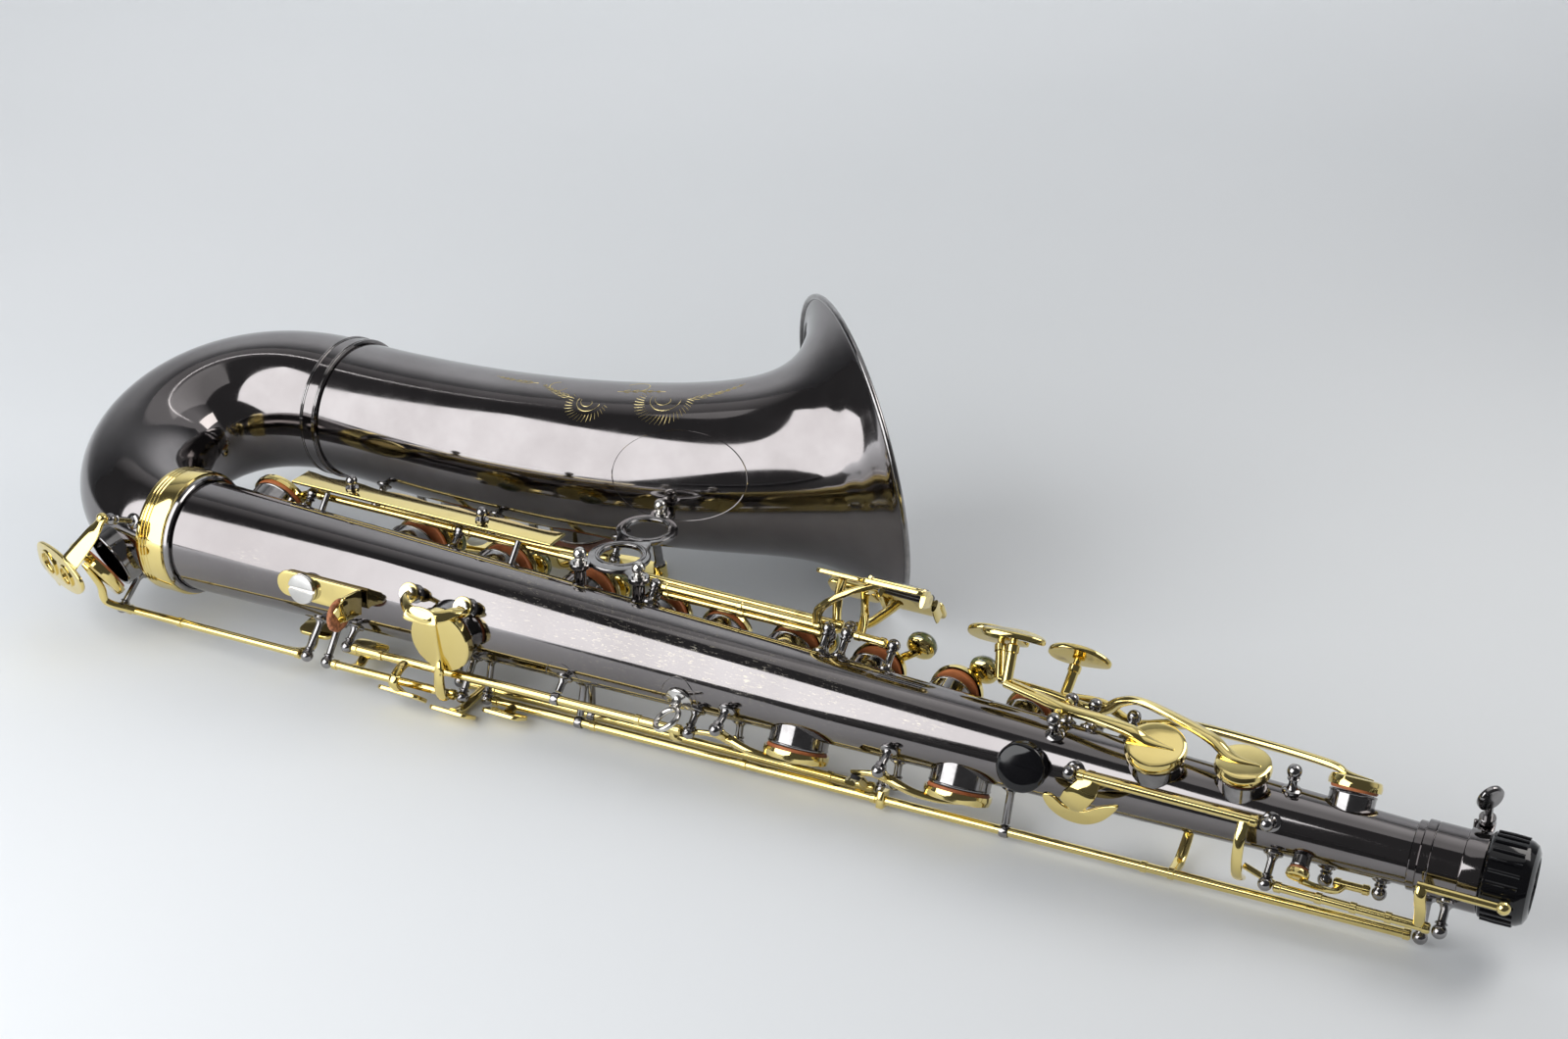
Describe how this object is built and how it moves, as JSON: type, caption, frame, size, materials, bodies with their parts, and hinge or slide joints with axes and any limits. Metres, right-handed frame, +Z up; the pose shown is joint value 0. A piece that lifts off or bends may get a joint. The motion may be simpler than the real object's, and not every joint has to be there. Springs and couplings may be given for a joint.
{
  "type": "saxophone",
  "caption": "Curved conical woodwind body with a flared bell, lying on its side, with hinged key cups, long rods and posts, and a black end plug where the neck fits",
  "frame": {"origin": "centre of the bounding box at its base, on the surface the instrument rests on", "axes": "+X along the body tube from the bow towards the neck receiver, +Y towards the bell, +Z up; the instrument lies on its right side"},
  "size_m": [0.7668, 0.2914, 0.1646],
  "materials": {
    "black_nickel": "dark mirror-bright nickel plating",
    "bright_nickel": "bright nickel plating",
    "lacquered_brass": "polished brass under clear lacquer",
    "pad_leather": "orange-brown pad leather, matte",
    "black_plastic": "black moulded plastic"
  },
  "bodies": {
    "horn": {"body_tube": "black_nickel", "bow": "black_nickel", "bell": "black_nickel", "body_bow_ring": "lacquered_brass", "bell_bow_ring": "black_nickel", "neck_receiver": "black_nickel", "bell_brace": "black_nickel", "bell_key_guard": "lacquered_brass", "low_c_guard": "lacquered_brass", "low_eb_guard": "lacquered_brass", "rod_guard": "lacquered_brass", "thumb_rest": "black_plastic", "thumb_hook": "lacquered_brass", "thumb_hook_screw": "bright_nickel", "strap_ring": "bright_nickel"},
    "low_c_key": {"low_c_key": "lacquered_brass", "low_c_pad": "pad_leather"},
    "low_eb_key": {"low_eb_key": "lacquered_brass", "low_eb_pad": "pad_leather"},
    "low_cs_key": {"low_cs_key": "lacquered_brass", "low_cs_pad": "pad_leather"},
    "low_b_touch": {"low_b_touch": "lacquered_brass"},
    "low_b_roller": {"low_b_roller": "black_plastic"},
    "low_bb_touch": {"low_bb_touch": "lacquered_brass"},
    "low_bb_roller": {"low_bb_roller": "black_plastic"},
    "g_sharp_touch": {"g_sharp_touch": "lacquered_brass"},
    "d_key": {"d_key": "lacquered_brass"},
    "e_key": {"e_key": "lacquered_brass"},
    "f_key": {"f_key": "lacquered_brass"},
    "f_sharp_key": {"f_sharp_key": "lacquered_brass"},
    "g_key": {"g_key": "lacquered_brass"},
    "a_key": {"a_key": "lacquered_brass"},
    "b_key": {"b_key": "lacquered_brass"},
    "c_key": {"c_key": "lacquered_brass"},
    "g_sharp_key": {"g_sharp_key": "lacquered_brass"},
    "side_bb_touch": {"side_bb_touch": "lacquered_brass"},
    "side_bb_cup": {"side_bb_cup": "lacquered_brass", "side_bb_pad": "pad_leather"},
    "side_c_touch": {"side_c_touch": "lacquered_brass"},
    "side_c_cup": {"side_c_cup": "lacquered_brass", "side_c_pad": "pad_leather"},
    "high_e_key": {"high_e_key": "lacquered_brass"},
    "palm_d_key": {"palm_d_key": "lacquered_brass", "palm_d_pad": "pad_leather"},
    "palm_eb_key": {"palm_eb_key": "lacquered_brass", "palm_eb_pad": "pad_leather"},
    "palm_f_key": {"palm_f_key": "lacquered_brass", "palm_f_pad": "pad_leather"},
    "octave_lever": {"octave_lever": "lacquered_brass"},
    "octave_link": {"octave_link": "lacquered_brass"},
    "octave_pip_key": {"octave_pip_key": "lacquered_brass"},
    "low_b_key": {"low_b_key": "lacquered_brass", "low_b_pad": "pad_leather"},
    "low_bb_key": {"low_bb_key": "lacquered_brass", "low_bb_pad": "pad_leather"},
    "neck_screw": {"neck_screw": "bright_nickel"},
    "end_cap": {"end_cap": "black_plastic"}
  },
  "joints": [
    {"name": "low_c_key_turn", "type": "hinge", "parent": "horn", "child": "low_c_key", "pos_m": [-0.31348, -0.11258, 0.0159], "axis": [-0.9996, 0.0214, -0.0183], "range_deg": [0, 11], "stiffness_Nm_per_rad": 0.3, "springref_deg": -11.46},
    {"name": "low_eb_key_turn", "type": "hinge", "parent": "horn", "child": "low_eb_key", "pos_m": [-0.18329, -0.11165, 0.01461], "axis": [0.9998, 0.021, -0.0056], "range_deg": [0, 5.5], "stiffness_Nm_per_rad": 0.15, "springref_deg": -10.31},
    {"name": "low_cs_key_turn", "type": "hinge", "parent": "horn", "child": "low_cs_key", "pos_m": [-0.22717, -0.05514, 0.07307], "axis": [0.9997, 0.0055, -0.0245], "range_deg": [0, 6], "stiffness_Nm_per_rad": 0.15, "springref_deg": -10.31},
    {"name": "low_b_touch_turn", "type": "hinge", "parent": "horn", "child": "low_b_touch", "pos_m": [-0.02319, -0.06005, 0.06887], "axis": [0.9997, 0.0055, -0.0245], "range_deg": [0, 5], "stiffness_Nm_per_rad": 0.15, "springref_deg": -10.31},
    {"name": "low_b_roller_turn", "type": "hinge", "parent": "low_b_touch", "child": "low_b_roller", "pos_m": [0.08663, -0.04607, 0.08744], "axis": [-0.999, 0.0098, 0.0437], "continuous": true},
    {"name": "low_bb_touch_turn", "type": "hinge", "parent": "horn", "child": "low_bb_touch", "pos_m": [-0.0233, -0.05865, 0.06438], "axis": [-0.9997, -0.0055, 0.0245], "range_deg": [0, 5], "stiffness_Nm_per_rad": 0.15, "springref_deg": -10.31},
    {"name": "low_bb_roller_turn", "type": "hinge", "parent": "low_bb_touch", "child": "low_bb_roller", "pos_m": [0.08647, -0.04027, 0.08213], "axis": [-0.9991, 0.0123, 0.0414], "continuous": true},
    {"name": "g_sharp_touch_turn", "type": "hinge", "parent": "horn", "child": "g_sharp_touch", "pos_m": [0.07576, -0.05865, 0.06574], "axis": [-0.9991, 0.012, 0.0417], "range_deg": [0, 6], "stiffness_Nm_per_rad": 0.15, "springref_deg": -10.31},
    {"name": "d_key_turn", "type": "hinge", "parent": "horn", "child": "d_key", "pos_m": [-0.19532, -0.05593, 0.02576], "axis": [0.9999, -0.0126, -0.008], "range_deg": [0, 11], "stiffness_Nm_per_rad": 0.15, "springref_deg": -10.31},
    {"name": "e_key_turn", "type": "hinge", "parent": "horn", "child": "e_key", "pos_m": [-0.14331, -0.05659, 0.02534], "axis": [0.9999, -0.0126, -0.008], "range_deg": [0, 11], "stiffness_Nm_per_rad": 0.15, "springref_deg": -10.31},
    {"name": "f_key_turn", "type": "hinge", "parent": "horn", "child": "f_key", "pos_m": [-0.0913, -0.05724, 0.02493], "axis": [0.9999, -0.0126, -0.008], "range_deg": [0, 11], "stiffness_Nm_per_rad": 0.15, "springref_deg": -10.31},
    {"name": "f_sharp_key_turn", "type": "hinge", "parent": "horn", "child": "f_sharp_key", "pos_m": [-0.04529, -0.05783, 0.02456], "axis": [0.9999, -0.0126, -0.008], "range_deg": [0, 11], "stiffness_Nm_per_rad": 0.15, "springref_deg": -10.31},
    {"name": "g_key_turn", "type": "hinge", "parent": "horn", "child": "g_key", "pos_m": [0.02372, -0.05869, 0.02401], "axis": [0.9999, -0.0126, -0.008], "range_deg": [0, 11], "stiffness_Nm_per_rad": 0.15, "springref_deg": -10.31},
    {"name": "a_key_turn", "type": "hinge", "parent": "horn", "child": "a_key", "pos_m": [0.06573, -0.05922, 0.02367], "axis": [0.9999, -0.0126, -0.008], "range_deg": [0, 11], "stiffness_Nm_per_rad": 0.15, "springref_deg": -10.31},
    {"name": "b_key_turn", "type": "hinge", "parent": "horn", "child": "b_key", "pos_m": [0.10674, -0.05974, 0.02335], "axis": [0.9999, -0.0126, -0.008], "range_deg": [0, 11], "stiffness_Nm_per_rad": 0.15, "springref_deg": -10.31},
    {"name": "c_key_turn", "type": "hinge", "parent": "horn", "child": "c_key", "pos_m": [0.14474, -0.06022, 0.02304], "axis": [0.9999, -0.0126, -0.008], "range_deg": [0, 11], "stiffness_Nm_per_rad": 0.15, "springref_deg": -10.31},
    {"name": "g_sharp_key_turn", "type": "hinge", "parent": "horn", "child": "g_sharp_key", "pos_m": [-0.00428, -0.05834, 0.02423], "axis": [-0.9999, 0.0126, 0.008], "range_deg": [0, 9], "stiffness_Nm_per_rad": 0.15, "springref_deg": -10.31},
    {"name": "side_bb_touch_turn", "type": "hinge", "parent": "horn", "child": "side_bb_touch", "pos_m": [-0.17, -0.11075, 0.02629], "axis": [0.9997, 0.0243, -0.0089], "range_deg": [0, 8], "stiffness_Nm_per_rad": 0.15, "springref_deg": -10.31},
    {"name": "side_bb_cup_turn", "type": "hinge", "parent": "horn", "child": "side_bb_cup", "pos_m": [0.03525, -0.11164, 0.03383], "axis": [-0.0208, 0.7258, -0.6876], "range_deg": [0, 8], "stiffness_Nm_per_rad": 0.15, "springref_deg": -10.31},
    {"name": "side_c_touch_turn", "type": "hinge", "parent": "horn", "child": "side_c_touch", "pos_m": [-0.1247, -0.08342, 0.00311], "axis": [-1, -0.0061, 0], "range_deg": [0, 4], "stiffness_Nm_per_rad": 0.15, "springref_deg": -10.31},
    {"name": "side_c_cup_turn", "type": "hinge", "parent": "horn", "child": "side_c_cup", "pos_m": [0.11424, -0.10938, 0.03254], "axis": [-0.0208, 0.7258, -0.6876], "range_deg": [0, 8], "stiffness_Nm_per_rad": 0.15, "springref_deg": -10.31},
    {"name": "high_e_key_turn", "type": "hinge", "parent": "horn", "child": "high_e_key", "pos_m": [-0.10056, -0.09531, 0.00601], "axis": [-0.9999, -0.0128, 0.0012], "range_deg": [0, 8], "stiffness_Nm_per_rad": 0.15, "springref_deg": -10.31},
    {"name": "palm_d_key_turn", "type": "hinge", "parent": "horn", "child": "palm_d_key", "pos_m": [0.18596, -0.08897, 0.06592], "axis": [0.0086, -0.9915, 0.1297], "range_deg": [0, 7], "stiffness_Nm_per_rad": 0.15, "springref_deg": -10.31},
    {"name": "palm_eb_key_turn", "type": "hinge", "parent": "horn", "child": "palm_eb_key", "pos_m": [0.19573, -0.06431, 0.0618], "axis": [0.0235, -0.5525, 0.8332], "range_deg": [0, 7], "stiffness_Nm_per_rad": 0.15, "springref_deg": -10.31},
    {"name": "palm_f_key_turn", "type": "hinge", "parent": "horn", "child": "palm_f_key", "pos_m": [0.21268, -0.06271, 0.05958], "axis": [0.0241, -0.4854, 0.874], "range_deg": [0, 7], "stiffness_Nm_per_rad": 0.15, "springref_deg": -10.31},
    {"name": "octave_lever_turn", "type": "hinge", "parent": "horn", "child": "octave_lever", "pos_m": [0.19871, -0.10342, 0.05196], "axis": [0.999, 0.0274, -0.0354], "range_deg": [0, 4.2], "stiffness_Nm_per_rad": 0.15, "springref_deg": -10.31},
    {"name": "octave_link_turn", "type": "hinge", "parent": "horn", "child": "octave_link", "pos_m": [0.28291, -0.09965, 0.01919], "axis": [0.9999, -0.004, -0.0146], "range_deg": [0, 4.2], "stiffness_Nm_per_rad": 0.15, "springref_deg": -10.31},
    {"name": "octave_pip_key_turn", "type": "hinge", "parent": "horn", "child": "octave_pip_key", "pos_m": [0.30381, -0.08539, 0.01821], "axis": [0.9999, 0.012, -0.0009], "range_deg": [0, 4.2], "stiffness_Nm_per_rad": 0.15, "springref_deg": -10.31},
    {"name": "low_b_key_turn", "type": "hinge", "parent": "horn", "child": "low_b_key", "pos_m": [-0.23178, -0.00089, 0.04054], "axis": [0.9992, 0.0017, -0.0401], "range_deg": [0, 9], "stiffness_Nm_per_rad": 0.3, "springref_deg": -11.46},
    {"name": "low_bb_key_turn", "type": "hinge", "parent": "horn", "child": "low_bb_key", "pos_m": [-0.15898, -0.00077, 0.03762], "axis": [0.9954, 0.0921, -0.0266], "range_deg": [0, 9], "stiffness_Nm_per_rad": 0.3, "springref_deg": -11.46},
    {"name": "neck_screw_turn", "type": "hinge", "parent": "horn", "child": "neck_screw", "pos_m": [0.3598, -0.05754, 0.03127], "axis": [-0.0251, 0.2171, -0.9758], "continuous": true},
    {"name": "end_cap_pull", "type": "slide", "parent": "horn", "child": "end_cap", "axis": [0.9997, 0.0055, -0.0245], "range_m": [0, 0.02]}
  ],
  "couplings": [
    {"joint": "low_b_key_turn", "follows": "low_b_touch_turn", "ratio": 1.8},
    {"joint": "low_bb_key_turn", "follows": "low_bb_touch_turn", "ratio": 1.8},
    {"joint": "g_sharp_key_turn", "follows": "g_sharp_touch_turn", "ratio": 1.5},
    {"joint": "f_sharp_key_turn", "follows": "f_key_turn", "ratio": 1},
    {"joint": "c_key_turn", "follows": "b_key_turn", "ratio": 1},
    {"joint": "side_bb_cup_turn", "follows": "side_bb_touch_turn", "ratio": 1},
    {"joint": "side_c_cup_turn", "follows": "side_c_touch_turn", "ratio": 2},
    {"joint": "octave_link_turn", "follows": "octave_lever_turn", "ratio": 1},
    {"joint": "octave_pip_key_turn", "follows": "octave_lever_turn", "ratio": 1}
  ]
}
